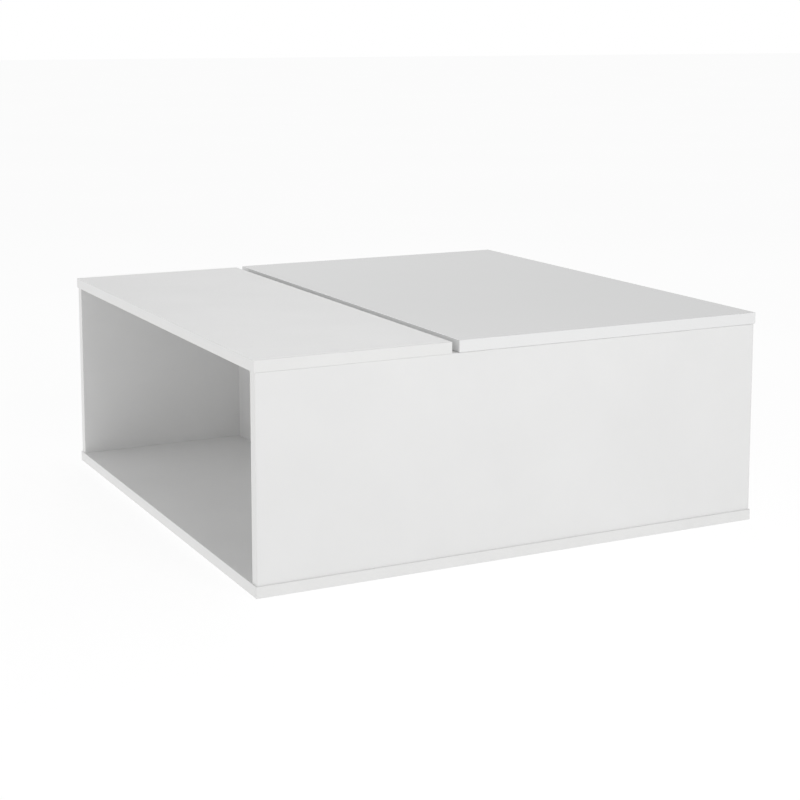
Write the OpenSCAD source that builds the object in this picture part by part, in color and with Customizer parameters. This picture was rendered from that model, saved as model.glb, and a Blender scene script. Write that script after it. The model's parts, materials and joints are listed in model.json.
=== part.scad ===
// Low square coffee table built from boards. One end is an open niche under a fixed top.
// The rest is a storage well under a second top, which rises and moves towards +X on
// two pairs of equal parallel arms, so it stays level.
// +X runs along the front towards the lifting end, +Y to the back and +Z up.
// The origin is the middle of the footprint, on the floor.

/* [Table] */
// Overall width along the front
table_w = 900; // [880:10:960]
// Overall depth from front to back
table_d = 900; // [760:20:1000]
// Height of the boards, base underside to fixed top
body_h = 355; // [345:5:420]
// Thickness of the boards of the body
board_t = 18; // [18:0.5:19]
// Thickness of the lifting top
lift_t = 19; // [18:0.5:22]
// How far tops and base stand out past the upright panels
overhang = 2; // [1:0.5:4]
// Thickness of the edging strips
edging_t = 1; // [0.5:0.5:1.5]

/* [Layout] */
// Left end of the table to the partition
niche_w = 319; // [290:1:330]
// How far the fixed top laps onto the partition
top_lap = 5; // [4:0.5:6]
// Gap between the two tops
top_gap = 12.5; // [9:0.5:13]
// Height of the pads under the lifting top
pad_h = 0.5; // [0.5:0.1:2]
// Radius of those pads
pad_r = 5; // [3:0.5:7]
// Height of the floor glides
glide_h = 3; // [2:0.5:6]
// Radius of the floor glides
glide_r = 12; // [8:1:16]

/* [Board fittings] */
// Radius of a cam housing
cam_r = 7.5; // [6:0.5:7.5]
// Depth of a cam housing
cam_depth = 12.5; // [12:0.5:13]
// Board edge to the middle of the cam
cam_setback = 34; // [24:1:34]
// Radius of the cap over a cam
cap_r = 8.5; // [8:0.5:10]
// Thickness of that cap
cap_t = 0.8; // [0.5:0.1:1.5]
// Radius of the cam bolt's shank
bolt_r = 3; // [2.5:0.5:3]
// Depth of the cam bolt's thread in the board it pulls
bolt_thread = 11; // [8:1:12]
// Radius of a dowel
dowel_r = 4; // [3:0.5:4]
// Length of a dowel
dowel_len = 30; // [20:2:30]
// Length of the screws through the base board
base_screw_len = 50; // [40:5:60]
// Radius of the base screws' thread
base_screw_r = 3; // [2.5:0.5:3.5]

/* [Lift arms] */
// Pivot to pivot length of every arm
arm_len = 250; // [230:5:255]
// Angle of the arms from +X when the top is down
arm_rest = 178; // [176:1:179]
// Angle of the arms from +X when the top is up
arm_up = 68; // [66:1:80]
// Distance between the two pivots of a bracket
link_len = 60; // [58:1:64]
// Angle of the line from main pivot to second pivot
link_dir = 210; // [208:1:213]
// Width of the main arm
main_arm_w = 24; // [20:1:24]
// Width of the second arm
second_arm_w = 18; // [14:1:18]
// Thickness of the arms
arm_t = 4; // [3:0.5:4]
// Right end of the table to the main pivot
pivot_inset = 50; // [48:1:60]
// Underside of the lifting top to its main pivot
pivot_drop = 20; // [18:1:24]
// Radius of the bar that joins the two main arms
bar_r = 10; // [8:1:12]
// Main pivot to that bar along the arm
bar_at = 70; // [65:5:90]

/* [Brackets and pins] */
// Thickness of the bracket plates
plate_t = 2.5; // [2:0.5:2.5]
// Thickness of the pivot washers
washer_t = 1.4; // [1:0.1:1.4]
// Radius of the pivot pins
pin_r = 5; // [4:0.5:5]
// Radius of the pin heads
pin_head_r = 8; // [7:0.5:8]
// Thickness of the pin heads
pin_head_t = 2.4; // [2:0.2:2.4]
// Width of the flange screwed to the lifting top
flange_w = 36; // [30:1:40]
// Length of that flange
flange_len = 202; // [190:2:210]
// Radius of the bracket screws' thread
screw_r = 2; // [1.5:0.5:2.5]
// Length of the bracket screws
screw_len = 15; // [12:1:16]

/* [Springs] */
// Second pivot to the spring pin
crank_len = 40; // [38:1:42]
// Outer radius of the coil
spring_r = 7.5; // [6:0.5:7.5]
// Radius of the spring wire
wire_r = 1.1; // [0.8:0.1:1.2]
// Length between the spring's hooks when the top is up
spring_short = 100; // [90:2:110]
// Radius of the spring's posts
post_r = 3.5; // [3:0.5:3.5]

/* [Hidden] */
$fn = 48;

WHITE = [0.93, 0.93, 0.92];
GLOSS_WHITE = [0.97, 0.97, 0.97];
ZINC = [0.62, 0.64, 0.66];
DARK_STEEL = [0.22, 0.23, 0.24];
NYLON = [0.9, 0.88, 0.82];
GREY_PLASTIC = [0.55, 0.55, 0.55];
BEECH = [0.82, 0.66, 0.45];

// Clearances: a running fit, the one pivot left open in each linkage, and a loose seat.
running = 0.05;
open_play = 0.4;
seat = 0.05;
stop_play = 0.3;
// How far a link's round eyes stand out past its straight sides.
eye_step = 1;
// How far two solids of one part run into each other.
join = 0.5;

// Levels, from the floor up.
base_z = glide_h;
panel_z = base_z + board_t;
panel_top = base_z + body_h - board_t;
fixed_top_z = base_z + body_h;
lift_z = panel_top + pad_h;

// Outer ends of the boards, and the faces of the upright panels.
end_x = table_w / 2;
end_y = table_d / 2;
panel_end_x = end_x - overhang;
panel_out_y = end_y - overhang;
panel_in_y = panel_out_y - board_t;
panel_mid_y = panel_out_y - board_t / 2;
part_x = niche_w - end_x;
part_right_x = part_x + board_t;
right_in_x = panel_end_x - board_t;
fixed_right_x = part_x + top_lap;
lift_left_x = fixed_right_x + top_gap;

// Pivots in the XZ plane. A and B are on the base bracket, C and D on the top bracket.
function dir(a) = [cos(a), sin(a)];
lift_span = arm_rest - arm_up;
pivot_c_z = lift_z - pivot_drop;
pivot_a = [end_x - pivot_inset, pivot_c_z - arm_len * sin(arm_rest)];
pivot_b = pivot_a + link_len * dir(link_dir);
pivot_c = pivot_a + arm_len * dir(arm_rest);
pivot_d = pivot_b + arm_len * dir(arm_rest);

// The crank on the second arm. Its pin lies level with the spring at both ends of the
// travel, so the spring keeps its direction and only gets shorter.
crank_dir = 270 + lift_span / 2;
crank_up_dir = crank_dir - lift_span;
spring_pin = pivot_b + crank_len * dir(crank_dir);
spring_post = pivot_b + crank_len * dir(crank_up_dir) - [spring_short, 0];

// One stop per side, just under the arm when it is down. It meets the crank when up.
stop_r = 4;
stop_dir = (arm_rest + crank_up_dir) / 2;
stop_half = (crank_up_dir - arm_rest) / 2;
stop_at = (second_arm_w / 2 + stop_r + stop_play) / sin(stop_half);
stop_pin = pivot_b + stop_at * dir(stop_dir);

// Layers of the front mechanism, counted inwards from the front panel's inner face.
wall_y = -panel_in_y;
washer_gap = 1.5;
arm_y = wall_y + plate_t + washer_gap;
arm_in_y = arm_y + arm_t;
top_plate_y = arm_in_y + washer_gap;
spring_off = 18;
spring_y = wall_y + spring_off;

// Base bracket plate.
pivot_margin = 16;
post_margin = 14;
bracket_low = [spring_post[0], pivot_b[1] - crank_len] - [post_margin, post_margin];
bracket_high = pivot_a + [pivot_margin, pivot_margin];
bracket_lip = 12;
corner_r = 8;
side_margin = 11;
low_margin = 14;
high_margin = 12;
bracket_screw_places = [
    bracket_low + [side_margin, low_margin],
    [(bracket_low[0] + bracket_high[0]) / 2, bracket_low[1] + low_margin],
    [bracket_high[0] - side_margin, bracket_low[1] + low_margin],
    [bracket_low[0] + side_margin, bracket_high[1] - high_margin]
];

// Top bracket: the plate hangs from a flange under the lifting top.
flange_shift = 15;
flange_x = (pivot_c[0] + pivot_d[0] - flange_len) / 2 + flange_shift;
flange_z = lift_z - plate_t;
screw_row = 0.62;
screw_margin = 19;
screw_step = (flange_len - 2 * screw_margin) / 3;
flange_screw_y = top_plate_y + flange_w * screw_row;
flange_screw_x = [for (i = [0 : 3]) flange_x + screw_margin + i * screw_step];
web_left = pivot_d[0] - 30;
web_right = pivot_c[0] + 44;
web_right_dir = -35;
web_left_dir = 200;
web_r = 13;
cross_bar_pos = pivot_a + bar_at * dir(arm_rest);

// ---- Joints between boards ----
// Each place is [position, turn]. In its own frame +Z leaves the edge of one board and
// enters the face of the other, and +X leaves the face that the cam is set in.
face_turn = [90, -90];
cam_margin = 45;
dowel_margin = 15;
top_cam_x = [-0.82 * end_x, -0.42 * end_x];
top_dowel_x = [-0.9 * end_x, -0.62 * end_x, -0.36 * end_x];
upright_cam_z = [panel_z + cam_margin, panel_top - cam_margin];
upright_dowel_z = [
    panel_z + dowel_margin, (panel_z + panel_top) / 2, panel_top - dowel_margin
];

function side_y(i) = i == 0 ? -1 : 1;
function top_places(xs) = [for (i = [0, 1], x = xs)
    [[x, side_y(i) * panel_mid_y, panel_top], [0, 0, face_turn[i]]]];
function partition_places(zs) = [for (i = [0, 1], z = zs)
    [[part_x + board_t / 2, side_y(i) * panel_in_y, z], [face_turn[i], 0, 0]]];
function end_places(zs) = [for (i = [0, 1], z = zs)
    [[right_in_x + board_t / 2, side_y(i) * panel_in_y, z], [-face_turn[i], 0, 180]]];

top_cams = top_places(top_cam_x);
top_dowels = top_places(top_dowel_x);
partition_cams = partition_places(upright_cam_z);
partition_dowels = partition_places(upright_dowel_z);
end_cams = end_places(upright_cam_z);
end_dowels = end_places(upright_dowel_z);
all_cams = concat(top_cams, partition_cams, end_cams);
all_dowels = concat(top_dowels, partition_dowels, end_dowels);

long_screw_x = [-0.9, -0.35, 0.2, 0.85] * end_x;
cross_screw_y = [-0.6, 0.6] * end_y;
base_screw_places = concat(
    [for (y = [-1, 1], x = long_screw_x) [x, y * panel_mid_y]],
    [for (y = cross_screw_y) [part_x + board_t / 2, y]],
    [for (y = cross_screw_y) [right_in_x + board_t / 2, y]]
);

module at(places) {
    for (p = places)
        translate(p[0]) rotate(p[1]) children();
}

// The cut in the board whose edge meets the joint: cam pocket and bolt channel.
module cam_pocket() {
    translate([board_t / 2 - cam_depth, 0, -cam_setback]) rotate([0, 90, 0])
        cylinder(h = cam_depth + 1, r = cam_r + seat);
    translate([0, 0, -cam_setback]) cylinder(h = cam_setback + 1, r = bolt_r + 0.5);
}

module bolt_thread_hole() {
    translate([0, 0, -1]) cylinder(h = bolt_thread + 1.5, r = bolt_r + seat);
}

module dowel_hole() {
    translate([0, 0, -dowel_len / 2 - 0.5]) cylinder(h = dowel_len + 1, r = dowel_r + seat);
}

module cam_housing() {
    difference() {
        translate([board_t / 2 - cam_depth, 0, -cam_setback]) rotate([0, 90, 0])
            cylinder(h = cam_depth, r = cam_r);
        translate([0, 0, -cam_setback - 2]) cylinder(h = cam_setback, r = bolt_r + 0.5);
    }
}

module cam_bolt() {
    head_h = 3;
    neck_r = bolt_r * 0.6;
    translate([0, 0, -cam_setback + head_h + 3])
        cylinder(h = cam_setback - head_h - 3 + bolt_thread, r = bolt_r);
    translate([0, 0, -cam_setback + head_h - 0.5]) cylinder(h = 4, r = neck_r);
    translate([0, 0, -cam_setback]) cylinder(h = head_h, r = bolt_r);
}

module cam_cover() {
    translate([board_t / 2, 0, -cam_setback]) rotate([0, 90, 0])
        cylinder(h = cap_t, r = cap_r);
}

// Screws driven up through the base board, heads sunk in its underside.
module base_screw(extra) {
    head_r = 5;
    head_h = 3;
    cylinder(h = head_h, r1 = head_r + extra, r2 = base_screw_r + extra);
    cylinder(h = base_screw_len + extra * 4, r = base_screw_r + extra);
}

module base_screw_cuts() {
    for (p = base_screw_places)
        translate([p[0], p[1], base_z]) base_screw(seat);
}

// ---- Boards ----
module block(low, high) {
    translate(low) cube(high - low);
}

// A board without its edging, which covers the sides named in trim = [x0, x1, y0, y1, z1].
module core(low, high, trim) {
    block(low + edging_t * [trim[0], trim[2], 0],
          high - edging_t * [trim[1], trim[3], trim[4]]);
}

module edging(low, high, trim) {
    difference() {
        block(low, high);
        translate(low + [trim[0] * edging_t, trim[2] * edging_t, 0]
                  - [1 - trim[0], 1 - trim[2], 1])
            cube(high - low
                 - [(trim[0] + trim[1]) * edging_t, (trim[2] + trim[3]) * edging_t,
                    trim[4] * edging_t]
                 + [2 - trim[0] - trim[1], 2 - trim[2] - trim[3], 2 - trim[4]]);
    }
}

base_low = [-end_x, -end_y, base_z];
base_high = [end_x, end_y, panel_z];
front_low = [-panel_end_x, -panel_out_y, panel_z];
front_high = [panel_end_x, -panel_in_y, panel_top];
rear_low = [-panel_end_x, panel_in_y, panel_z];
rear_high = [panel_end_x, panel_out_y, panel_top];
partition_low = [part_x, -panel_in_y, panel_z];
partition_high = [part_right_x, panel_in_y, panel_top];
right_low = [right_in_x, -panel_in_y, panel_z];
right_high = [panel_end_x, panel_in_y, panel_top];
fixed_low = [-end_x, -end_y, panel_top];
fixed_high = [fixed_right_x, end_y, fixed_top_z];
lift_low = [lift_left_x, -end_y, lift_z];
lift_high = [end_x, end_y, lift_z + lift_t];
ALL_ROUND = [1, 1, 1, 1, 0];
ENDS_AND_TOP = [1, 1, 0, 0, 1];
TOP_ONLY = [0, 0, 0, 0, 1];

module side_panel_cuts() {
    at(top_cams) cam_pocket();
    at(top_dowels) dowel_hole();
    at(concat(partition_cams, end_cams)) bolt_thread_hole();
    at(concat(partition_dowels, end_dowels)) dowel_hole();
    base_screw_cuts();
    front_and_rear() bracket_pilots();
}

module upright_cuts(cams, pegs) {
    at(cams) cam_pocket();
    at(pegs) dowel_hole();
    base_screw_cuts();
}

module base_board() {
    color(WHITE) difference() {
        core(base_low, base_high, ALL_ROUND);
        base_screw_cuts();
    }
}

module base_board_edging() {
    color(WHITE) edging(base_low, base_high, ALL_ROUND);
}

module front_panel() {
    color(WHITE) difference() {
        core(front_low, front_high, ENDS_AND_TOP);
        side_panel_cuts();
    }
}

module front_panel_edging() {
    color(WHITE) difference() {
        edging(front_low, front_high, ENDS_AND_TOP);
        side_panel_cuts();
    }
}

module rear_panel() {
    color(WHITE) difference() {
        core(rear_low, rear_high, ENDS_AND_TOP);
        side_panel_cuts();
    }
}

module rear_panel_edging() {
    color(WHITE) difference() {
        edging(rear_low, rear_high, ENDS_AND_TOP);
        side_panel_cuts();
    }
}

module partition_panel() {
    color(WHITE) difference() {
        core(partition_low, partition_high, TOP_ONLY);
        upright_cuts(partition_cams, partition_dowels);
    }
}

module partition_edging() {
    color(WHITE) edging(partition_low, partition_high, TOP_ONLY);
}

module right_end_panel() {
    color(WHITE) difference() {
        core(right_low, right_high, TOP_ONLY);
        upright_cuts(end_cams, end_dowels);
    }
}

module right_end_edging() {
    color(WHITE) edging(right_low, right_high, TOP_ONLY);
}

module fixed_top() {
    color(WHITE) difference() {
        core(fixed_low, fixed_high, ALL_ROUND);
        at(top_cams) bolt_thread_hole();
        at(top_dowels) dowel_hole();
    }
}

module fixed_top_edging() {
    color(WHITE) edging(fixed_low, fixed_high, ALL_ROUND);
}

module lift_top() {
    color(GLOSS_WHITE) difference() {
        core(lift_low, lift_high, ALL_ROUND);
        front_and_rear() flange_screws(seat);
    }
}

module lift_top_edging() {
    color(GLOSS_WHITE) edging(lift_low, lift_high, ALL_ROUND);
}

// ---- Small parts of the body ----
module floor_glides() {
    inset = 40;
    color(GREY_PLASTIC)
        for (x = [-1, 0, 1] * (end_x - inset), y = [-1, 0, 1] * (end_y - inset))
            translate([x, y, 0]) {
                cylinder(h = glide_h / 2, r1 = glide_r - 1, r2 = glide_r);
                translate([0, 0, glide_h / 2]) cylinder(h = glide_h / 2, r = glide_r);
            }
}

module base_screws() {
    color(ZINC)
        for (p = base_screw_places)
            translate([p[0], p[1], base_z]) base_screw(0);
}

module cam_housings() {
    color(ZINC) at(all_cams) cam_housing();
}

module cam_bolts() {
    color(ZINC) at(all_cams) cam_bolt();
}

module cam_covers() {
    color(WHITE) at(all_cams) cam_cover();
}

module dowels() {
    color(BEECH) at(all_dowels)
        translate([0, 0, -dowel_len / 2]) cylinder(h = dowel_len, r = dowel_r);
}

module top_rest_pads() {
    side_x = [0, end_x - pivot_inset];
    end_pad_y = end_y * 0.45;
    places = concat(
        [for (x = side_x, y = [-1, 1]) [x, y * panel_mid_y]],
        [for (y = [-1, 1]) [right_in_x + board_t / 2, y * end_pad_y]]
    );
    color(GREY_PLASTIC)
        for (p = places)
            translate([p[0], p[1], panel_top]) cylinder(h = pad_h, r = pad_r);
}

// ---- Lift mechanism ----
// Every part is drawn for the front pair. The rear pair is its mirror image.
module front_and_rear() {
    children();
    mirror([0, 1, 0]) children();
}

// A flat outline in the XZ plane, made solid from y over the thickness t.
module sheet(y, t) {
    translate([0, y + t, 0]) rotate([90, 0, 0]) linear_extrude(t) children();
}

// A round bar along +Y from y0 to y1, with its middle at p.
module rod(p, y0, y1, r) {
    translate([p[0], y1, p[1]]) rotate([90, 0, 0]) cylinder(h = y1 - y0, r = r);
}

// A flat link outline: a bar with a round eye of radius r at each end, a little wider
// than the bar.
module link(p, q, r) {
    d = q - p;
    half = r - eye_step;
    translate(p) rotate(atan2(d[1], d[0])) translate([0, -half]) square([norm(d), 2 * half]);
    translate(p) circle(r);
    translate(q) circle(r);
}

module rounded_plate(low, high, r) {
    translate(low + [r, 0]) square(high - low - [2 * r, 0]);
    translate(low + [0, r]) square(high - low - [0, 2 * r]);
    for (x = [low[0] + r, high[0] - r], z = [low[1] + r, high[1] - r])
        translate([x, z]) circle(r);
}

// A countersunk screw into the panel behind the base bracket.
module bracket_screw(p, extra) {
    head_r = 4.2;
    head_h = 2.2;
    rod(p, wall_y + plate_t - screw_len - extra * 4, wall_y + plate_t, screw_r + extra);
    translate([p[0], wall_y + plate_t, p[1]]) rotate([90, 0, 0])
        cylinder(h = head_h, r1 = head_r + extra, r2 = screw_r + extra);
}

module bracket_pilots() {
    for (p = bracket_screw_places)
        bracket_screw(p, seat);
}

module base_bracket() {
    difference() {
        union() {
            sheet(wall_y, plate_t) rounded_plate(bracket_low, bracket_high, corner_r);
            translate([bracket_low[0] + corner_r, wall_y, bracket_low[1]])
                cube([bracket_high[0] - bracket_low[0] - 2 * corner_r, bracket_lip, plate_t]);
        }
        for (p = [pivot_a, pivot_b])
            rod(p, wall_y - 1, wall_y + plate_t + 1, pin_r);
        rod(stop_pin, wall_y - 1, wall_y + plate_t + 1, stop_r);
        rod(spring_post, wall_y - 1, wall_y + plate_t + 1, post_r);
        bracket_pilots();
    }
}

module front_base_bracket() {
    color(ZINC) base_bracket();
}

module rear_base_bracket() {
    color(ZINC) mirror([0, 1, 0]) base_bracket();
}

module base_bracket_screws() {
    color(DARK_STEEL) front_and_rear()
        for (p = bracket_screw_places)
            bracket_screw(p, 0);
}

module lower_pivot_pins() {
    head_y = arm_in_y + 0.1;
    color(DARK_STEEL) front_and_rear()
        for (p = [pivot_a, pivot_b]) {
            rod(p, wall_y, head_y + join, pin_r);
            rod(p, head_y, head_y + pin_head_t, pin_head_r);
        }
}

module washer(p, y) {
    difference() {
        rod(p, y, y + washer_t, pin_head_r);
        rod(p, y - 1, y + washer_t + 1, pin_r + running);
    }
}

module lower_washers() {
    color(NYLON) front_and_rear()
        for (p = [pivot_a, pivot_b])
            washer(p, wall_y + plate_t);
}

module stop_pins() {
    color(DARK_STEEL) front_and_rear()
        rod(stop_pin, wall_y, arm_in_y + 1, stop_r);
}

// A headed post that holds a spring hook, standing up from y.
module hook_post(p, y) {
    head_t = 1.5;
    rod(p, y, spring_y + 2, post_r);
    rod(p, spring_y + 2, spring_y + 2 + head_t, post_r + 1.5);
}

module spring_posts() {
    color(DARK_STEEL) front_and_rear() hook_post(spring_post, wall_y);
}

// A closed coil drawn as a tube, with a cross wire and a round eye at each end.
module spring() {
    hook_play = 0.4;
    eye_r = post_r + wire_r + hook_play;
    coil_from = spring_post[0] + eye_r + wire_r;
    coil_to = spring_pin[0] - eye_r - wire_r;
    coil_in_r = spring_r - 2 * wire_r;
    translate([0, spring_y, spring_post[1]]) {
        difference() {
            translate([coil_from, 0, 0]) rotate([0, 90, 0])
                cylinder(h = coil_to - coil_from, r = spring_r);
            translate([coil_from - 1, 0, 0]) rotate([0, 90, 0])
                cylinder(h = coil_to - coil_from + 2, r = coil_in_r);
        }
        for (x = [coil_from + 2 * wire_r, coil_to - 2 * wire_r])
            translate([x, 0, -coil_in_r - wire_r])
                cylinder(h = 2 * (coil_in_r + wire_r), r = wire_r);
        for (x = [coil_from - wire_r, coil_to - 2 * wire_r])
            translate([x, 0, 0]) rotate([0, 90, 0]) cylinder(h = 3 * wire_r, r = wire_r * 0.8);
        for (x = [spring_post[0], spring_pin[0]])
            translate([x, 0, 0]) rotate([90, 0, 0])
                rotate_extrude() translate([eye_r, 0]) circle(wire_r);
    }
}

module front_spring() {
    color(DARK_STEEL) spring();
}

module rear_spring() {
    color(DARK_STEEL) mirror([0, 1, 0]) spring();
}

// The countersunk screw that holds the cross bar to a main arm.
module bar_screw(extra) {
    head_r = 5.5;
    head_h = 2.8;
    thread_r = 3;
    rod(cross_bar_pos, arm_y, arm_in_y + 12, thread_r + extra);
    translate([cross_bar_pos[0], arm_y, cross_bar_pos[1]]) rotate([-90, 0, 0])
        cylinder(h = head_h, r1 = head_r + extra, r2 = thread_r + extra);
}

module main_arm() {
    difference() {
        sheet(arm_y, arm_t) link(pivot_a, pivot_c, main_arm_w / 2);
        for (p = [pivot_a, pivot_c])
            rod(p, arm_y - 1, arm_in_y + 1, pin_r + running);
        bar_screw(seat);
    }
}

module front_main_arm() {
    color(ZINC) main_arm();
}

module rear_main_arm() {
    color(ZINC) mirror([0, 1, 0]) main_arm();
}

module cross_bar() {
    wall = 1.5;
    plug_len = 14;
    color(ZINC) difference() {
        rod(cross_bar_pos, arm_in_y, -arm_in_y, bar_r);
        rod(cross_bar_pos, arm_in_y + plug_len, -arm_in_y - plug_len, bar_r - wall);
        front_and_rear() bar_screw(seat);
    }
}

module cross_bar_screws() {
    color(DARK_STEEL) front_and_rear() bar_screw(0);
}

module second_arm() {
    difference() {
        sheet(arm_y, arm_t) {
            link(pivot_b, pivot_d, second_arm_w / 2);
            link(pivot_b, spring_pin, second_arm_w / 2);
        }
        rod(pivot_b, arm_y - 1, arm_in_y + 1, pin_r + running);
        rod(pivot_d, arm_y - 1, arm_in_y + 1, pin_r + open_play);
        rod(spring_pin, arm_y - 1, arm_in_y + 1, post_r);
    }
}

module front_second_arm() {
    color(ZINC) second_arm();
}

module rear_second_arm() {
    color(ZINC) mirror([0, 1, 0]) second_arm();
}

module spring_pins() {
    color(DARK_STEEL) front_and_rear() hook_post(spring_pin, arm_y);
}

// A screw up into the lifting top, with a pan head under the flange.
module flange_screws(extra) {
    head_r = 4;
    head_h = 2.2;
    for (x = flange_screw_x)
        translate([x, flange_screw_y, flange_z]) {
            cylinder(h = screw_len, r = screw_r + extra);
            translate([0, 0, -head_h]) cylinder(h = head_h, r = head_r);
        }
}

module top_bracket() {
    difference() {
        union() {
            sheet(top_plate_y, plate_t) {
                polygon([[web_left, flange_z + plate_t], [web_right, flange_z + plate_t],
                         pivot_c + web_r * dir(web_right_dir), pivot_c, pivot_d,
                         pivot_d + web_r * dir(web_left_dir)]);
                link(pivot_c, pivot_d, web_r);
            }
            translate([flange_x, top_plate_y, flange_z]) cube([flange_len, flange_w, plate_t]);
        }
        for (p = [pivot_c, pivot_d])
            rod(p, top_plate_y - 1, top_plate_y + plate_t + 1, pin_r);
        flange_screws(seat);
    }
}

module front_top_bracket() {
    color(ZINC) top_bracket();
}

module rear_top_bracket() {
    color(ZINC) mirror([0, 1, 0]) top_bracket();
}

module top_bracket_screws() {
    color(DARK_STEEL) front_and_rear() flange_screws(0);
}

module upper_pivot_pins() {
    head_y = arm_y - 0.1;
    tail_y = top_plate_y + plate_t;
    rivet_t = 1.6;
    color(DARK_STEEL) front_and_rear()
        for (p = [pivot_c, pivot_d]) {
            rod(p, head_y - pin_head_t, head_y, pin_head_r);
            rod(p, head_y - join, tail_y + join, pin_r);
            rod(p, tail_y, tail_y + rivet_t, pin_head_r - 1.5);
        }
}

module upper_washers() {
    color(NYLON) front_and_rear()
        for (p = [pivot_c, pivot_d])
            washer(p, top_plate_y - washer_t);
}

base_board();
base_board_edging();
front_panel();
front_panel_edging();
rear_panel();
rear_panel_edging();
partition_panel();
partition_edging();
right_end_panel();
right_end_edging();
fixed_top();
fixed_top_edging();
floor_glides();
base_screws();
cam_housings();
cam_bolts();
cam_covers();
dowels();
top_rest_pads();
front_base_bracket();
rear_base_bracket();
base_bracket_screws();
lower_pivot_pins();
lower_washers();
stop_pins();
spring_posts();
front_spring();
rear_spring();
front_main_arm();
rear_main_arm();
cross_bar();
cross_bar_screws();
front_second_arm();
rear_second_arm();
spring_pins();
lift_top();
lift_top_edging();
front_top_bracket();
rear_top_bracket();
top_bracket_screws();
upper_pivot_pins();
upper_washers();
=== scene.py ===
"""Looks of the lift top coffee table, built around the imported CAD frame.

Boards and plates are bevelled copies of the CAD solids. Turned parts, screws and springs
are modelled here at the places the CAD gives. Everything is in metres, in the CAD's frame.
"""
import json
import math

import bmesh
import bpy
from mathutils import Matrix, Vector


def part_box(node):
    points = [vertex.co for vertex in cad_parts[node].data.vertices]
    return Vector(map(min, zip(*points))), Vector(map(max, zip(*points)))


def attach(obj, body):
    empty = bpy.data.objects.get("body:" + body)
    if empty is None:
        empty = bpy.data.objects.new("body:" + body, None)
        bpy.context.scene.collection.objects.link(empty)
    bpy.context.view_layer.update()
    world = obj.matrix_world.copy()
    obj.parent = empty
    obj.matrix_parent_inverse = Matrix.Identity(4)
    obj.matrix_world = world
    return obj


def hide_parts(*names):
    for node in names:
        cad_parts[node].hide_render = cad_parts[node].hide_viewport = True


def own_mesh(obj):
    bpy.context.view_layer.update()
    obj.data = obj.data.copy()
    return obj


MM = 0.001
# Vertices closer than this are one vertex.
WELD = 0.002 * MM
# Faces that meet at less than the first angle are one flat face, and at more than the
# second a corner.
FLAT_ANGLE = math.radians(0.5)
CORNER_ANGLE = math.radians(35)
# Sides of a turned part.
ROUND_SIDES = 40
# Noise seldom leaves this range, so colour and roughness ramps end there.
NOISE_LOW, NOISE_HIGH = 0.3, 0.7
X, Y, Z = Vector((1, 0, 0)), Vector((0, 1, 0)), Vector((0, 0, 1))

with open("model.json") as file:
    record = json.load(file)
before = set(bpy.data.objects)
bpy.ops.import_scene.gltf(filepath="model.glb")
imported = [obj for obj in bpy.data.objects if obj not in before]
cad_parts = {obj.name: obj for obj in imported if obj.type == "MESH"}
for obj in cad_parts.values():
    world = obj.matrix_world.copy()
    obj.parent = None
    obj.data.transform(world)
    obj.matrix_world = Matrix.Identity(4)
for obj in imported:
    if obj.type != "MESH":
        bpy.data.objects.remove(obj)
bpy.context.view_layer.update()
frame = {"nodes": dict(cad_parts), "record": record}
nodes = frame["nodes"]
body_of = {n: b for b, members in frame["record"]["behaviour"]["bodies"].items() for n in members}
slot_of = {row["node"]: row["material_slot"] for row in frame["record"]["subparts"]}


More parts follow.
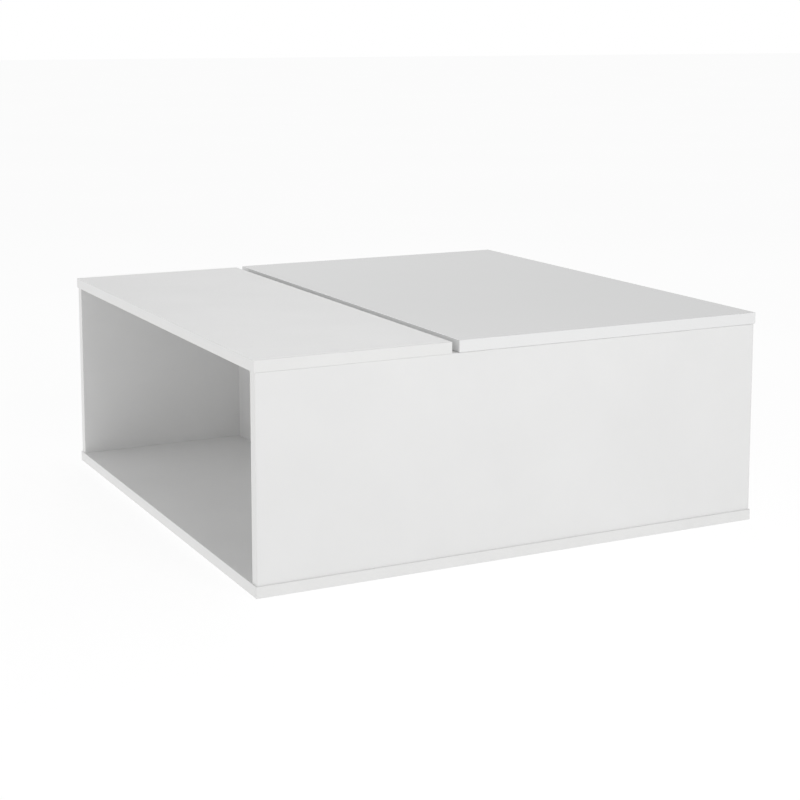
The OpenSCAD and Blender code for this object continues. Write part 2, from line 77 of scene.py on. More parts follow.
# ---------------------------------------------------------------- materials
class Paint:
    """One procedural material: a principled shader and the nodes that feed it."""

    def __init__(self, name, **fixed):
        self.material = bpy.data.materials.new(name)
        self.material.use_nodes = True
        self.tree = self.material.node_tree
        self.shader = self.tree.nodes["Principled BSDF"]
        self.place = self.node("ShaderNodeTexCoord").outputs["Object"]
        for socket, value in fixed.items():
            self.shader.inputs[socket.replace("_", " ")].default_value = value

    def node(self, kind, **settings):
        made = self.tree.nodes.new(kind)
        for key, value in settings.items():
            setattr(made, key, value)
        return made

    def link(self, source, target):
        self.tree.links.new(source, target)

    def stretched(self, scale):
        """The object's own coordinates, stretched by a factor along each axis."""
        mapping = self.node("ShaderNodeMapping")
        mapping.inputs["Scale"].default_value = scale
        self.link(self.place, mapping.inputs["Vector"])
        return mapping.outputs["Vector"]

    def noise(self, scale, detail=2.0, roughness=0.5, stretch=None):
        tex = self.node("ShaderNodeTexNoise")
        tex.inputs["Scale"].default_value = scale
        tex.inputs["Detail"].default_value = detail
        tex.inputs["Roughness"].default_value = roughness
        self.link(self.stretched(stretch) if stretch else self.place, tex.inputs["Vector"])
        return tex.outputs["Fac"]

    def cells(self, scale, stretch=None):
        tex = self.node("ShaderNodeTexVoronoi")
        tex.inputs["Scale"].default_value = scale
        self.link(self.stretched(stretch) if stretch else self.place, tex.inputs["Vector"])
        return tex.outputs["Color"]

    def colour(self, factor, stops):
        """Base colour from a ramp of (position, (r, g, b)) stops."""
        ramp = self.node("ShaderNodeValToRGB")
        for element, (position, rgb) in zip(ramp.color_ramp.elements, (stops[0], stops[-1])):
            element.position = position
            element.color = (*rgb, 1)
        for position, rgb in stops[1:-1]:
            ramp.color_ramp.elements.new(position).color = (*rgb, 1)
        self.link(factor, ramp.inputs["Fac"])
        self.link(ramp.outputs["Color"], self.shader.inputs["Base Color"])

    def mottled(self, factor, rgb, spread):
        """Base colour that drifts a little darker and a little lighter."""
        low = tuple(c * (1 - spread) for c in rgb)
        high = tuple(min(1, c * (1 + spread)) for c in rgb)
        self.colour(factor, [(NOISE_LOW, low), (NOISE_HIGH, high)])

    def roughness(self, factor, low, high):
        span = self.node("ShaderNodeMapRange")
        span.inputs["From Min"].default_value = NOISE_LOW
        span.inputs["From Max"].default_value = NOISE_HIGH
        span.inputs["To Min"].default_value = low
        span.inputs["To Max"].default_value = high
        self.link(factor, span.inputs["Value"])
        self.link(span.outputs["Result"], self.shader.inputs["Roughness"])

    def bump(self, height, strength, distance, under=None):
        bump = self.node("ShaderNodeBump")
        bump.inputs["Strength"].default_value = strength
        bump.inputs["Distance"].default_value = distance
        self.link(height, bump.inputs["Height"])
        if under:
            self.link(under, bump.inputs["Normal"])
        self.link(bump.outputs["Normal"], self.shader.inputs["Normal"])
        return bump.outputs["Normal"]


SATIN_WHITE = (0.800, 0.800, 0.797)
EDGING_WHITE = (0.796, 0.796, 0.790)
GLOSS_WHITE = (0.800, 0.802, 0.802)


def satin_board():
    """White melamine: a fine pearl grain that only shows in the highlights."""
    paint = Paint("satin_white_melamine", Specular_IOR_Level=0.5)
    paint.mottled(paint.noise(6, 5, 0.6), SATIN_WHITE, 0.016)
    paint.roughness(paint.noise(240, 4, 0.6), 0.30, 0.46)
    pearl = paint.bump(paint.noise(420, 3, 0.55), 0.55, 0.05 * MM)
    paint.bump(paint.noise(12, 2), 0.3, 0.25 * MM, under=pearl)
    return paint.material


def satin_edge():
    """Edging strip: moulded, a little smoother than the board's faces."""
    paint = Paint("satin_white_edging", Specular_IOR_Level=0.5)
    paint.mottled(paint.noise(14, 3), EDGING_WHITE, 0.012)
    paint.roughness(paint.noise(300, 2), 0.30, 0.38)
    paint.bump(paint.noise(350, 2, 0.5), 0.25, 0.02 * MM)
    return paint.material


def gloss_board():
    """Sprayed and polished lacquer: mirror sharp, with a trace of long ripples."""
    paint = Paint(
        "gloss_white_lacquer", Specular_IOR_Level=0.5, Coat_Weight=0.5, Coat_Roughness=0.015
    )
    paint.mottled(paint.noise(4, 3), GLOSS_WHITE, 0.006)
    paint.roughness(paint.noise(40, 3), 0.03, 0.06)
    paint.bump(paint.noise(22, 1), 0.10, 0.02 * MM)
    return paint.material


def gloss_edge():
    """High gloss edging strip, a little less even than the lacquered face."""
    paint = Paint(
        "gloss_white_edging", Specular_IOR_Level=0.5, Coat_Weight=0.4, Coat_Roughness=0.03
    )
    paint.mottled(paint.noise(10, 3), GLOSS_WHITE, 0.006)
    paint.roughness(paint.noise(60, 2), 0.06, 0.12)
    paint.bump(paint.noise(60, 2, 0.5), 0.12, 0.02 * MM)
    return paint.material


def particle_board():
    """Cut core of the board: pressed wood chips with dark specks and gaps."""
    paint = Paint("particle_board_core", Roughness=0.9, Specular_IOR_Level=0.2)
    paint.colour(
        paint.cells(420, stretch=(1, 1, 2.2)),
        [(0.0, (0.16, 0.10, 0.05)), (0.35, (0.38, 0.27, 0.15)), (1.0, (0.62, 0.48, 0.30))],
    )
    paint.bump(paint.noise(500, 4, 0.7), 0.6, 0.3 * MM)
    return paint.material


def metal(name, rgb, rough, grain, stretch, spread=0.06):
    """Plated or turned steel with fine marks that run one way."""
    paint = Paint(name, Metallic=1.0)
    paint.mottled(paint.noise(70, 4), rgb, spread)
    paint.roughness(paint.noise(grain, 3, 0.6, stretch), rough - 0.06, rough + 0.08)
    paint.bump(paint.noise(grain * 1.5, 2, 0.6, stretch), 0.15, 0.02 * MM)
    return paint.material


def zinc_plate():
    """Bright zinc plated sheet: a faint bluish bloom in patches over rolled grain."""
    paint = Paint("zinc_plated_sheet", Metallic=1.0)
    paint.colour(
        paint.noise(26, 5, 0.6),
        [(0.25, (0.50, 0.52, 0.55)), (0.55, (0.60, 0.61, 0.62)), (0.8, (0.66, 0.65, 0.61))],
    )
    grain = paint.noise(260, 3, 0.6, stretch=(0.15, 1, 1))
    paint.roughness(grain, 0.29, 0.43)
    paint.bump(grain, 0.12, 0.03 * MM)
    return paint.material


def plastic(name, rgb, rough, glow=0.0):
    """Moulded plastic with a fine spark eroded grain."""
    paint = Paint(name, Specular_IOR_Level=0.5, Subsurface_Weight=glow, Subsurface_Scale=MM)
    paint.mottled(paint.noise(30, 3), rgb, 0.03)
    paint.roughness(paint.noise(700, 2), rough - 0.05, rough + 0.07)
    paint.bump(paint.noise(1500, 2), 0.2, 0.02 * MM)
    return paint.material


def beech():
    """Beech dowel: straight grain with short dark flecks."""
    paint = Paint("beech", Roughness=0.6)
    paint.colour(
        paint.noise(300, 4, 0.6, stretch=(1, 1, 0.12)),
        [(0.3, (0.52, 0.34, 0.18)), (0.55, (0.68, 0.49, 0.30)), (0.75, (0.76, 0.58, 0.38))],
    )
    paint.bump(paint.noise(500, 3, 0.6, stretch=(1, 1, 0.2)), 0.3, 0.05 * MM)
    return paint.material


MATERIALS = {
    "satin_white": satin_board(),
    "satin_white_edge": satin_edge(),
    "gloss_white": gloss_board(),
    "gloss_white_edge": gloss_edge(),
    "grey_plastic": plastic("grey_moulded_plastic", (0.30, 0.30, 0.30), 0.5),
    "zinc_screw": metal("zinc_plated_screw", (0.64, 0.64, 0.63), 0.34, 400, (1, 1, 1)),
    "cast_zinc": metal("die_cast_zinc", (0.48, 0.49, 0.50), 0.42, 500, (1, 1, 1), 0.12),
    "white_cap": plastic("white_cap_plastic", (0.80, 0.80, 0.79), 0.36, 0.05),
    "beech": beech(),
    "clear_bumper": plastic("clear_bumper", (0.70, 0.70, 0.68), 0.34, 0.4),
    "zinc_plate": zinc_plate(),
    "pin_steel": metal("turned_steel", (0.52, 0.52, 0.53), 0.34, 300, (1, 8, 1)),
    "nylon": plastic("natural_nylon", (0.74, 0.72, 0.65), 0.42, 0.15),
    "spring_steel": metal("oiled_spring_wire", (0.16, 0.16, 0.17), 0.34, 350, (6, 1, 1), 0.15),
}
CORE = particle_board()


# ---------------------------------------------------------------- mesh helpers
def finish_piece(piece, node, *more_materials):
    """Gives a piece its node's body, slot and material, and hides the CAD solid."""
    piece.data.materials.clear()
    for material in (MATERIALS[slot_of[node]], *more_materials):
        piece.data.materials.append(material)
    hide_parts(node)
    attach(piece, body_of[node])
    return piece


def to_object(bm, name):
    mesh = bpy.data.meshes.new(name)
    bm.to_mesh(mesh)
    bm.free()
    piece = bpy.data.objects.new(name, mesh)
    bpy.context.scene.collection.objects.link(piece)
    return piece


def smooth(piece, sharp_angle=40):
    """Smooth shading that keeps flat faces flat."""
    piece.data.shade_smooth()
    piece.data.set_sharp_from_angle(angle=math.radians(sharp_angle))
    weighted = piece.modifiers.new("weighted_normals", "WEIGHTED_NORMAL")
    weighted.keep_sharp = True
    return piece


def welded(node):
    """The CAD node's mesh as a bmesh, with its vertices welded and flat faces joined."""
    bm = bmesh.new()
    bm.from_mesh(nodes[node].data)
    bmesh.ops.remove_doubles(bm, verts=bm.verts, dist=WELD)
    bmesh.ops.dissolve_limit(
        bm, angle_limit=FLAT_ANGLE, verts=bm.verts, edges=bm.edges, delimit={"NORMAL"}
    )
    return bm


def bevelled(node, radius, segments):
    """A copy of a CAD node with its arrises rounded by a small radius."""
    bm = welded(node)
    edges = [e for e in bm.edges if e.is_manifold and e.calc_face_angle() > CORNER_ANGLE]
    bmesh.ops.bevel(
        bm, geom=edges, offset=radius, segments=segments, profile=0.5,
        affect="EDGES", clamp_overlap=True,
    )
    bmesh.ops.dissolve_degenerate(bm, dist=WELD, edges=bm.edges)
    return bm


def solids(node):
    """(low, high) box of each separate solid in a CAD node, in a fixed order."""
    bm = welded(node)
    left, boxes = set(bm.verts), []
    while left:
        stack, part = [left.pop()], []
        while stack:
            vert = stack.pop()
            part.append(vert.co.copy())
            for edge in vert.link_edges:
                other = edge.other_vert(vert)
                if other in left:
                    left.remove(other)
                    stack.append(other)
        low = Vector(min(p[i] for p in part) for i in range(3))
        high = Vector(max(p[i] for p in part) for i in range(3))
        boxes.append((low, high))
    bm.free()
    return sorted(boxes, key=lambda b: tuple(round(c, 5) for c in b[0]))


def lathe(profile, sides=ROUND_SIDES):
    """Turns (radius, height) points about +Z into a closed mesh. Ends at radius 0 close it."""
    bm = bmesh.new()
    rings = []
    for radius, height in profile:
        if radius <= 0:
            rings.append([bm.verts.new((0, 0, height))])
            continue
        angles = (2 * math.pi * i / sides for i in range(sides))
        rings.append([bm.verts.new((radius * math.cos(a), radius * math.sin(a), height))
                      for a in angles])
    closed = len(rings[0]) > 1
    pairs = list(zip(rings, rings[1:])) + ([(rings[-1], rings[0])] if closed else [])
    for lower, upper in pairs:
        for i in range(sides):
            j = (i + 1) % sides
            corners = [lower[i % len(lower)], lower[j % len(lower)],
                       upper[j % len(upper)], upper[i % len(upper)]]
            face = [v for k, v in enumerate(corners) if v not in corners[:k]]
            if len(face) > 2:
                bm.faces.new(face)
    bmesh.ops.recalc_face_normals(bm, faces=bm.faces)
    return bm


def rounded_rim(radius, r, steps=4):
    """Lathe points round the lower corner of a disc, from its face out to its side."""
    angles = [math.pi / 2 * i / steps for i in range(steps, -1, -1)]
    return [(radius - r + r * math.cos(a), r * (1 - math.sin(a))) for a in angles]


def turned(axis, origin):
    """Matrix that stands a lathed shape on origin with its +Z along axis."""
    return Matrix.Translation(origin) @ Z.rotation_difference(axis).to_matrix().to_4x4()


def gather(template, places, name):
    """One object that holds a copy of the template at each place."""
    bm = bmesh.new()
    mesh = bpy.data.meshes.new("template")
    template.to_mesh(mesh)
    template.free()
    for place in places:
        count = len(bm.verts)
        bm.from_mesh(mesh)
        bm.verts.ensure_lookup_table()
        bmesh.ops.transform(bm, matrix=place, verts=bm.verts[count:])
    bpy.data.meshes.remove(mesh)
    return to_object(bm, name)


def cut(bm, tool):
    """Subtracts a closed bmesh from another and returns the result."""
    body, blade = to_object(bm, "body_tmp"), to_object(tool, "blade_tmp")
    boolean = body.modifiers.new("cut", "BOOLEAN")
    boolean.object, boolean.operation, boolean.solver = blade, "DIFFERENCE", "EXACT"
    bpy.context.view_layer.update()
    result = bmesh.new()
    result.from_mesh(body.evaluated_get(bpy.context.evaluated_depsgraph_get()).data)
    for piece in (body, blade):
        mesh = piece.data
        bpy.data.objects.remove(piece)
        bpy.data.meshes.remove(mesh)
    return result


def cross_blade(half_length, half_width, depth, top):
    """A tapered cross that cuts a screwdriver recess down from height top."""
    bm = bmesh.new()
    for along in (X, Y):
        across = Z.cross(along)
        corners = []
        for height, share in ((top + 0.2 * MM, 1.0), (top - depth, 0.45)):
            for u, v in ((-1, -1), (1, -1), (1, 1), (-1, 1)):
                point = along * u * half_length * share + across * v * half_width * share
                corners.append(bm.verts.new(point + Z * height))
        low, high = corners[4:], corners[:4]
        bm.faces.new(high)
        bm.faces.new(low[::-1])
        for i in range(4):
            bm.faces.new((high[i], low[i], low[(i + 1) % 4], high[(i + 1) % 4]))
    bmesh.ops.recalc_face_normals(bm, faces=bm.faces)
    return bm


def thread(radius, start, end, pitch):
    """Lathe points of a coarse thread between two heights, as rings with sharp crests."""
    count = max(1, int(abs(end - start) / pitch))
    step = (end - start) / count
    root = radius * 0.74
    points = []
    for i in range(count):
        points += [(root, start + step * (i + 0.1)), (radius, start + step * (i + 0.5)),
                   (root, start + step * (i + 0.9))]
    return points


# ---------------------------------------------------------------- boards
BOARDS = (
    "base_board", "front_panel", "rear_panel", "partition_panel", "right_end_panel",
    "fixed_top", "lift_top",
)
# Edging strips, with the radius of their arrises.
EDGINGS = {
    "base_board_edging": 0.5 * MM, "front_panel_edging": 0.35 * MM,
    "rear_panel_edging": 0.35 * MM, "partition_edging": 0.35 * MM,
    "right_end_edging": 0.35 * MM, "fixed_top_edging": 0.5 * MM, "lift_top_edging": 0.5 * MM,
}
STANDING = ("front_panel", "rear_panel", "partition", "right_end")
# Chamfer of a board where it meets its edging, and the depth that counts as its face.
JOINT_LINE = 0.18 * MM
COATING = 0.3 * MM
# Places of a board's three materials on its piece.
FACE, CUT_EDGE, UNDERSIDE = range(3)


def outer_arrises(bm, node):
    """Edges where two sides of the node's own box meet, without the foot of an upright."""
    low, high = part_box(node)
    sides = [(axis, value) for axis in range(3) for value in (low[axis], high[axis])]
    foot_side = (2, low.z) if node.startswith(STANDING) else None
    found = []
    for edge in bm.edges:
        on = [side for side in sides
              if all(abs(v.co[side[0]] - side[1]) < 2 * WELD for v in edge.verts)]
        if len(on) > 1 and foot_side not in on:
            found.append(edge)
    return found


def arrised(node, radius, segments):
    bm = welded(node)
    bmesh.ops.bevel(
        bm, geom=outer_arrises(bm, node), offset=radius, segments=segments, profile=0.5,
        affect="EDGES", clamp_overlap=True,
    )
    return to_object(bm, node + "_piece")


def board(node):
    """A board whose faces are coated and whose holes and cut edges show its core.

    The underside of a top is satin, whatever its upper face is.
    """
    satin = MATERIALS["satin_white"]
    piece = finish_piece(arrised(node, JOINT_LINE, 1), node, CORE, satin)
    low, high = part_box(node)
    size = high - low
    thin = min(range(3), key=lambda axis: size[axis])
    for face in piece.data.polygons:
        middle = face.center[thin]
        if middle > high[thin] - COATING:
            face.material_index = FACE
        elif middle < low[thin] + COATING:
            face.material_index = UNDERSIDE
        else:
            face.material_index = CUT_EDGE
    smooth(piece)


for node_name in BOARDS:
    board(node_name)
for node_name, arris in EDGINGS.items():
    smooth(finish_piece(arrised(node_name, arris, 3), node_name))


# ---------------------------------------------------------------- plates and arms
PLATES = (
    "front_base_bracket", "rear_base_bracket", "front_top_bracket", "rear_top_bracket",
    "front_main_arm", "rear_main_arm", "front_second_arm", "rear_second_arm", "cross_bar",
    "cam_housings",
)
PLATE_ARRIS = 0.35 * MM
for node_name in PLATES:
    plate = to_object(bevelled(node_name, PLATE_ARRIS, 2), node_name + "_piece")
    smooth(finish_piece(plate, node_name))


# ---------------------------------------------------------------- turned parts
def inward(box):
    """Unit Y from a side of the table towards its middle."""
    return Y if centre(box).y < 0 else -Y


def outward(box):
    return -inward(box)


def centre(box):
    return (box[0] + box[1]) / 2


def span(box, axis):
    return abs((box[1] - box[0]).dot(axis))


def standing(box, axis):
    """Matrix that stands a lathed shape on the end of a solid's box, along the axis."""
    return turned(axis, centre(box) - axis * span(box, axis) / 2)


def turned_parts(node, shape, axis_of):
    """Replaces each solid of a node with a shape made for its length and radius."""
    boxes = solids(node)
    axis = axis_of(boxes[0])
    length = span(boxes[0], axis)
    across = X if abs(axis.x) < 0.5 else Z
    template = shape(length, span(boxes[0], across) / 2)
    places = [standing(box, axis_of(box)) for box in boxes]
    piece = gather(template, places, node + "_piece")
    smooth(finish_piece(piece, node), sharp_angle=35)


def up(box):
    return Z


def down(box):
    return -Z


def cover_axis(box):
    """A cap looks out of the face that it sits on: its thin side."""
    if span(box, Y) < span(box, X):
        return inward(box)
    return X if centre(box).x < 0 else -X


def fitting_axis(box):
    """Bolts and pegs point up into the fixed top, or out into a side panel."""
    return Z if span(box, Z) > span(box, Y) else outward(box)


def glide(h, r):
    """Pressed-in glide with a dished foot and a rounded rim."""
    profile = [(0, 0.9 * MM), (3 * MM, 0.8 * MM), (3.6 * MM, 0.4 * MM), (5 * MM, 0)]
    profile += rounded_rim(r, 1.2 * MM)
    profile += [(r, h - 0.4 * MM), (r - 0.4 * MM, h), (0, h)]
    return lathe(profile)


def cover(h, r):
    """Thin cap with a turned-down rim and a shallow dish."""
    return lathe([
        (0, 0), (r - 0.3 * MM, 0), (r, 0.15 * MM), (r, 0.35 * MM), (r - 0.25 * MM, 0.6 * MM),
        (r - 0.9 * MM, h), (r - 1.8 * MM, h), (r - 2.4 * MM, h - 0.12 * MM),
        (0, h - 0.12 * MM),
    ])


def pad(h, r):
    """Soft bumper with a domed face."""
    return lathe([(0, 0), (r, 0), (r, 0.3 * h), (r - 0.12 * MM, 0.6 * h),
                  (r - 0.5 * MM, 0.85 * h), (r - 1.5 * MM, h), (0, h)])


def screw(length, head_r, head_h, thread_r, pan=False):
    """A screw with its tip at the origin, a cross recess in its head and a real thread."""
    tip = 2.5 * thread_r
    seat = length - head_h
    profile = [(0, 0), (0.35 * thread_r, 0.25 * tip)]
    profile += thread(thread_r, tip, seat - thread_r, 0.8 * thread_r)
    if pan:
        profile += [(0.8 * thread_r, seat), (0.98 * head_r, seat), (head_r, seat + 0.15 * MM)]
        steps = 6
        for i in range(1, steps):
            a = math.pi / 2 * i / steps
            height = seat + 0.5 * MM + (head_h - 0.5 * MM) * math.sin(a)
            profile.append((head_r * math.cos(a), height))
        profile.append((0, length))
    else:
        profile += [(0.8 * thread_r, seat - 0.5 * MM), (thread_r, seat),
                    (head_r, length - 0.35 * MM), (head_r, length - 0.12 * MM),
                    (head_r - 0.15 * MM, length), (0, length)]
    blade = cross_blade(0.58 * head_r, 0.13 * head_r, 0.75 * head_h, length)
    return cut(lathe(profile), blade)


def base_screw(length, r):
    return screw(length, r, head_h=3 * MM, thread_r=3 * MM)


def wood_screw(length, r):
    return screw(length, r, head_h=2.2 * MM, thread_r=2 * MM)


def bar_screw(length, r):
    return screw(length, r, head_h=2.8 * MM, thread_r=3 * MM)


def pan_screw(length, r):
    return screw(length, r, head_h=2.2 * MM, thread_r=2 * MM, pan=True)


def pivot_pin(length, r):
    """Shouldered pin with a domed head and a centre mark."""
    head, shank = 2.4 * MM, 5 * MM
    top = length - head
    return lathe([
        (0, 0), (shank, 0), (shank, top), (r - 0.2 * MM, top), (r, top + 0.2 * MM),
        (r, top + 1.1 * MM), (r - 0.3 * MM, top + 1.6 * MM), (r - 1.2 * MM, top + 2.05 * MM),
        (r - 3 * MM, top + 2.3 * MM), (1.6 * MM, length), (1.2 * MM, length - 0.1 * MM),
        (0, length - 0.9 * MM),
    ])


def riveted_pin(length, r):
    """Domed head at the foot, a shank, and a rivet end peened over at the far side."""
    head, shank, tail, peen = 2.4 * MM, 5 * MM, 1.6 * MM, 6.5 * MM
    end = length - tail
    return lathe([
        (0, 0), (r - 3 * MM, 0.1 * MM), (r - 1.2 * MM, 0.35 * MM), (r - 0.3 * MM, 0.8 * MM),
        (r, 1.3 * MM), (r, head - 0.2 * MM), (r - 0.2 * MM, head), (shank, head),
        (shank, end), (peen - 0.3 * MM, end), (peen, end + 0.3 * MM),
        (peen - 0.2 * MM, end + 0.7 * MM), (peen - 1.2 * MM, end + 1.25 * MM),
        (peen - 2.6 * MM, end + 1.5 * MM), (1.8 * MM, length), (1.4 * MM, end + 1.1 * MM),
        (0, end + 0.7 * MM),
    ])


def stop_pin(length, r):
    """Plain pin with a groove near its end."""
    groove = length - 4.5 * MM
    return lathe([
        (0, 0), (r, 0), (r, groove - 0.5 * MM), (r - 0.35 * MM, groove - 0.3 * MM),
        (r - 0.35 * MM, groove + 0.3 * MM), (r, groove + 0.5 * MM), (r, length - 0.6 * MM),
        (r - 0.6 * MM, length), (0, length),
    ])


def hook_post(length, r):
    """Post with a waist that keeps the spring's hook in place."""
    body, waist, head = 3.5 * MM, 2.8 * MM, 1.5 * MM
    seat = length - head
    return lathe([
        (0, 0), (body, 0), (body, seat - 3.6 * MM), (waist, seat - 3.1 * MM),
        (waist, seat - 0.9 * MM), (body, seat - 0.4 * MM), (body, seat),
        (r - 0.25 * MM, seat), (r, seat + 0.25 * MM), (r, length - 0.4 * MM),
        (r - 0.4 * MM, length), (0, length),
    ])


def washer(length, r):
    """Flat ring with its edges broken."""
    bore, edge = 5.05 * MM, 0.2 * MM
    return lathe([
        (bore, edge), (bore + edge, 0), (r - edge, 0), (r, edge), (r, length - edge),
        (r - edge, length), (bore + edge, length), (bore, length - edge),
    ])


def cam_bolt(length, r):
    """Steel bolt: a head for the cam, a neck, a shank and a coarse thread."""
    neck, thread_from = 0.6 * r, length - 11 * MM
    profile = [
        (0, 0), (r - 0.4 * MM, 0), (r, 0.4 * MM), (r, 2.4 * MM), (neck, 3 * MM),
        (neck, 5.6 * MM), (r, 6.4 * MM), (r, thread_from - MM), (0.8 * r, thread_from),
    ]
    profile += thread(r, thread_from, length - MM, 2.2 * MM)
    return lathe(profile + [(0.5 * r, length), (0, length)])


def peg(length, r):
    """Beech dowel with chamfered ends and pressed flutes along its length."""
    edge, flutes, flute_depth = 1.2 * MM, 16, 0.07
    bm = lathe([(0, 0), (r - 0.9 * MM, 0), (r, edge), (r, length - edge),
                (r - 0.9 * MM, length), (0, length)], sides=3 * flutes)
    for vert in bm.verts:
        angle = math.atan2(vert.co.y, vert.co.x)
        groove = 0.5 + 0.5 * math.cos(flutes * angle)
        reach = Vector((vert.co.x, vert.co.y, 0))
        vert.co -= reach * flute_depth * groove
    return bm


# Node, with the shape of each of its solids and the direction in which that stands.
TURNED = {
    "floor_glides": (glide, up),
    "cam_covers": (cover, cover_axis),
    "top_rest_pads": (pad, up),
    "base_screws": (base_screw, down),
    "base_bracket_screws": (wood_screw, inward),
    "cross_bar_screws": (bar_screw, outward),
    "top_bracket_screws": (pan_screw, down),
    "lower_pivot_pins": (pivot_pin, inward),
    "upper_pivot_pins": (riveted_pin, inward),
    "stop_pins": (stop_pin, inward),
    "spring_posts": (hook_post, inward),
    "spring_pins": (hook_post, inward),
    "lower_washers": (washer, inward),
    "upper_washers": (washer, inward),
    "cam_bolts": (cam_bolt, fitting_axis),
    "dowels": (peg, fitting_axis),
}
for node_name, (shape, axis_of) in TURNED.items():
    turned_parts(node_name, shape, axis_of)


# ---------------------------------------------------------------- springs
# Radius of the wire, radius of a hook's eye, and the gap between a hook and the coil.
WIRE = 1.1 * MM
EYE = 5.0 * MM
HOOK_GAP = 0.3 * MM
TURNS = 40


def swept(points, radius, name, closed=False, sides=10):
    """A round wire along a path, with its frames carried along without twist."""
    count = len(points)
    bm = bmesh.new()
    rings = []
    side = None
    for i, point in enumerate(points):
        before = points[i - 1] if i or closed else point
        after = points[(i + 1) % count] if i + 1 < count or closed else point
        ahead = (after - before).normalized()
        if side is None:
            side = ahead.orthogonal().normalized()
        side = (side - ahead * side.dot(ahead)).normalized()
        other = ahead.cross(side)
        rings.append([])
        for k in range(sides):
            a = 2 * math.pi * k / sides
            offset = side * math.cos(a) + other * math.sin(a)
            rings[-1].append(bm.verts.new(point + offset * radius))
    pairs = list(zip(rings, rings[1:])) + ([(rings[-1], rings[0])] if closed else [])
    for lower, upper in pairs:
        for k in range(sides):
            j = (k + 1) % sides
            bm.faces.new((lower[k], lower[j], upper[j], upper[k]))
    if not closed:
        bm.faces.new(rings[0][::-1])
        bm.faces.new(rings[-1])
    bmesh.ops.recalc_face_normals(bm, faces=bm.faces)
    return to_object(bm, name)


def half_coil(start, middle_x, radius):
    """Path from a hook's eye, out to the coil's radius, and round to the coil's middle."""
    lead, per_turn = 16, 24
    lead_length = 2.6 * MM
    points = []
    for i in range(lead):
        t = i / lead
        angle, reach = math.pi * t * t, radius * math.sin(math.pi / 2 * t)
        points.append(start + Vector((lead_length * t, reach * math.sin(angle),
                                      reach * math.cos(angle))))
    steps = per_turn * TURNS // 2
    coil_length = middle_x - start.x - lead_length
    for i in range(steps + 1):
        angle = math.pi + math.pi * (TURNS - 1) * i / steps
        points.append(start + Vector((lead_length + coil_length * i / steps,
                                      radius * math.sin(angle), radius * math.cos(angle))))
    return points


def eye_ring(middle):
    """Path of a closed loop of wire round a post."""
    count = 40
    return [middle + Vector((EYE * math.cos(2 * math.pi * i / count), 0,
                             EYE * math.sin(2 * math.pi * i / count))) for i in range(count)]


def spring(side, node):
    """Coil between the post and the pin, with a hook on the post and one on the pin."""
    post = next(b for b in solids("spring_posts") if side(b))
    pin = next(b for b in solids("spring_pins") if side(b))
    low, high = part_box(node)
    axis_y = (low.y + high.y) / 2
    post_at = Vector((centre(post).x, axis_y, centre(post).z))
    pin_at = Vector((centre(pin).x, axis_y, centre(pin).z))
    start = post_at + X * (EYE + HOOK_GAP)
    middle = (post_at + pin_at) / 2
    first = half_coil(start, middle.x, (high.z - low.z) / 2 - WIRE)
    second = [Vector((2 * middle.x - p.x, 2 * middle.y - p.y, p.z)) for p in first[-2::-1]]
    coil = finish_piece(swept(first + second, WIRE, node + "_coil"), node)
    smooth(coil, sharp_angle=60)
    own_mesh(coil)
    for name, place, body in (("post_hook", post_at, "table"),
                              ("pin_hook", pin_at, "second_arms")):
        hook = swept(eye_ring(place), WIRE, node + "_" + name, closed=True)
        hook.data.materials.append(MATERIALS["spring_steel"])
        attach(hook, body)
        smooth(hook, sharp_angle=60)


spring(lambda box: centre(box).y < 0, "front_spring")
spring(lambda box: centre(box).y > 0, "rear_spring")


# ---------------------------------------------------------------- stage
FLOOR_REACH = 40
FLOOR_TONES = (0.215, 0.225)
FLOOR_GLOW = 0.835
# Degrees that the camera stands to the left of straight on, and looks down.
CAMERA_TURN = 26.75
CAMERA_TILT = 7.853
CAMERA_PLACE = Vector((-1.3348, -2.6716, 0.8322))
LENS = 76.15
SENSOR = 36
LENS_RISE = -0.175
# Sine of the elevation, with the brightness there and the share of the uneven light.
SKY = ((0.03, 1.0), (0.10, 0.73), (0.4, 0.73), (0.8, 0.52))
BAND = ((0.03, 0.0), (0.10, 1.0), (0.4, 1.0), (0.8, 0.0))
# How much the room brightens from front right to back left.
LEAN = 0.2
# How much it dims at the back right and the front left.
CORNER_DIM = 0.15


def floor():
    """A plain floor that glows a little, so it stays white out to the horizon."""
    bpy.ops.mesh.primitive_plane_add(size=2 * FLOOR_REACH)
    plane = bpy.context.object
    plane.name = "floor"
    paint = Paint("studio_floor", Roughness=0.9, Specular_IOR_Level=0.0)
    low, high = ((tone, tone, tone) for tone in FLOOR_TONES)
    paint.colour(paint.noise(0.8, 3), [(NOISE_LOW, low), (NOISE_HIGH, high)])
    paint.shader.inputs["Emission Color"].default_value = (1, 1, 1, 1)
    paint.shader.inputs["Emission Strength"].default_value = FLOOR_GLOW
    plane.data.materials.append(paint.material)


def softbox(name, place, size, power, aim, spread, mirrored):
    """A square light. A narrow spread fades its reflection out towards its sides."""
    light = bpy.data.lights.new(name, "AREA")
    light.shape, light.size, light.energy = "SQUARE", size, power
    light.spread = math.radians(spread)
    lamp = bpy.data.objects.new(name, light)
    lamp.location = place
    lamp.visible_camera = False
    lamp.visible_glossy = mirrored
    lamp.rotation_euler = (Vector(aim) - Vector(place)).to_track_quat("-Z", "Y").to_euler()
    bpy.context.scene.collection.objects.link(lamp)


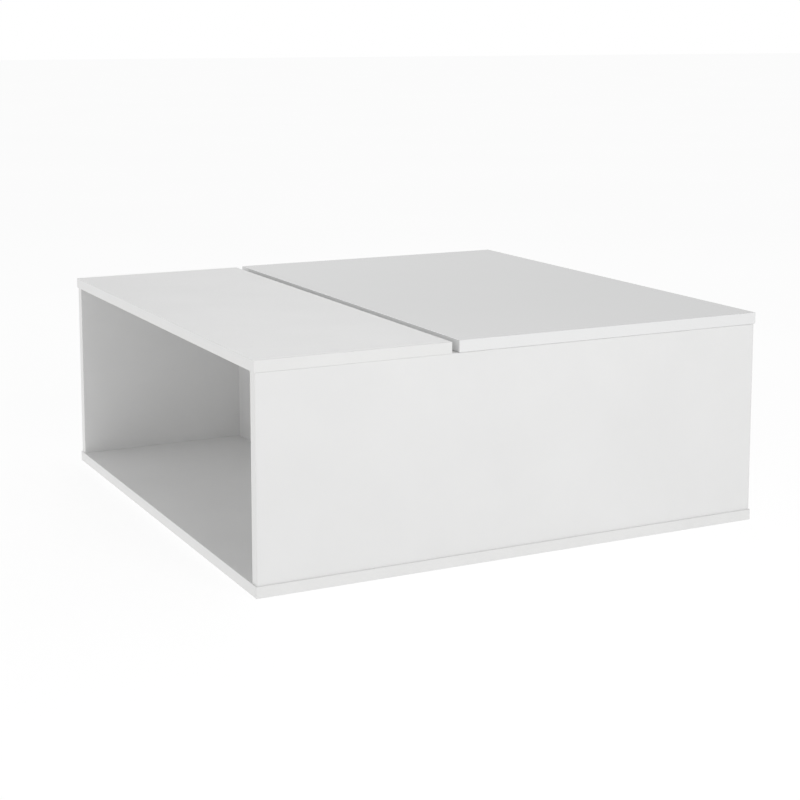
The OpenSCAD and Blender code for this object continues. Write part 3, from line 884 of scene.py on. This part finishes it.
def surroundings():
    """A white room: brightest at the horizon, and a little brighter to the back left."""
    world = bpy.data.worlds.new("studio")
    bpy.context.scene.world = world
    world.use_nodes = True
    tree = world.node_tree

    def combined(operation, first, second):
        made = tree.nodes.new("ShaderNodeMath")
        made.operation = operation
        for socket, value in zip(made.inputs, (first, second)):
            if isinstance(value, (int, float)):
                socket.default_value = value
            else:
                tree.links.new(value, socket)
        return made.outputs["Value"]

    def ramp(factor, stops):
        made = tree.nodes.new("ShaderNodeValToRGB")
        for element, (position, grey) in zip(made.color_ramp.elements, (stops[0], stops[-1])):
            element.position, element.color = position, (grey, grey, grey, 1)
        for position, grey in stops[1:-1]:
            made.color_ramp.elements.new(position).color = (grey, grey, grey, 1)
        tree.links.new(factor, made.inputs["Fac"])
        return made.outputs["Color"]

    place = tree.nodes.new("ShaderNodeTexCoord")
    split = tree.nodes.new("ShaderNodeSeparateXYZ")
    tree.links.new(place.outputs["Generated"], split.inputs["Vector"])
    east, north, height = (split.outputs[axis] for axis in "XYZ")
    lean = combined("MULTIPLY", combined("SUBTRACT", north, east), LEAN)
    corner = combined("MULTIPLY", combined("MULTIPLY", east, north), -CORNER_DIM)
    uneven = combined("MULTIPLY", combined("ADD", lean, corner), ramp(height, BAND))
    background = tree.nodes["Background"]
    background.inputs["Color"].default_value = (1, 1, 1, 1)
    strength = combined("ADD", ramp(height, SKY), uneven)
    tree.links.new(strength, background.inputs["Strength"])


def camera():
    data = bpy.data.cameras.new("camera")
    data.lens, data.sensor_width, data.shift_y = LENS, SENSOR, LENS_RISE
    data.clip_end = 4 * FLOOR_REACH
    viewer = bpy.data.objects.new("camera", data)
    viewer.location = CAMERA_PLACE
    viewer.rotation_euler = (math.radians(90 - CAMERA_TILT), 0, math.radians(-CAMERA_TURN))
    bpy.context.scene.collection.objects.link(viewer)
    bpy.context.scene.camera = viewer


floor()
surroundings()
softbox(
    "front_softbox", place=(-0.1, -2.3, 1.5), size=1.2, power=13.2, aim=(0, -0.4, 0.25),
    spread=180, mirrored=False,
)
softbox(
    "back_softbox", place=(1.8, 4.2, 2.8), size=3.4, power=2.8, aim=(0, 0, 0.3),
    spread=38, mirrored=True,
)
camera()
bpy.context.scene.view_settings.view_transform = "Standard"
